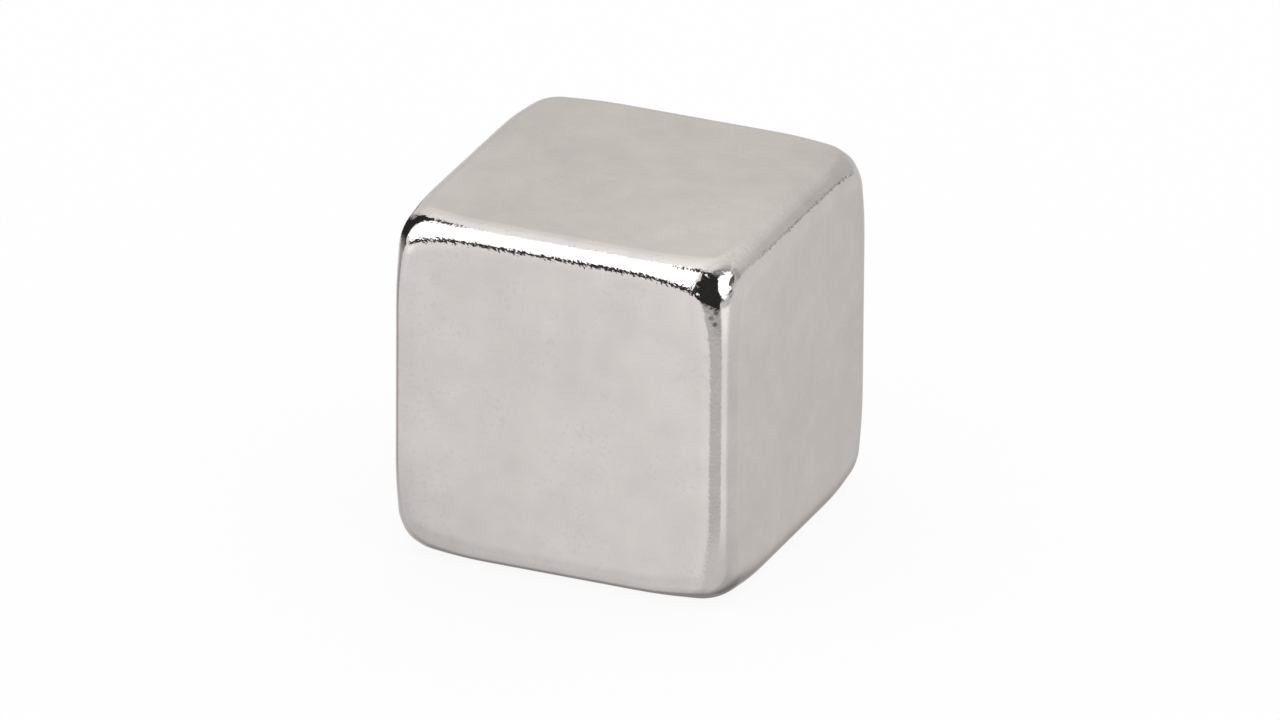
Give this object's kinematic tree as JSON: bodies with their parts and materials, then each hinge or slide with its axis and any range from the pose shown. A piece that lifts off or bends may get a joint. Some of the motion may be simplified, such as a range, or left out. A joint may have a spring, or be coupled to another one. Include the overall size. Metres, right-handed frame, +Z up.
{
  "type": "block magnet",
  "caption": "Cube-shaped block magnet with a bright metal plating, flat square faces, evenly rounded edges and tumbled, rounder corners.",
  "frame": {"origin": "centre of the bottom pole face, which the block stands on", "axes": "+Z up through both pole faces, +X to the right and +Y to the back as seen from the front face"},
  "size_m": [0.01, 0.01, 0.01],
  "materials": {
    "nickel_plating": "bright nickel plating on a tumbled block: mirror-like with a faint haze and a fine peel, a little warm"
  },
  "bodies": {
    "root": {"magnet_block": "nickel_plating"}
  },
  "joints": []
}
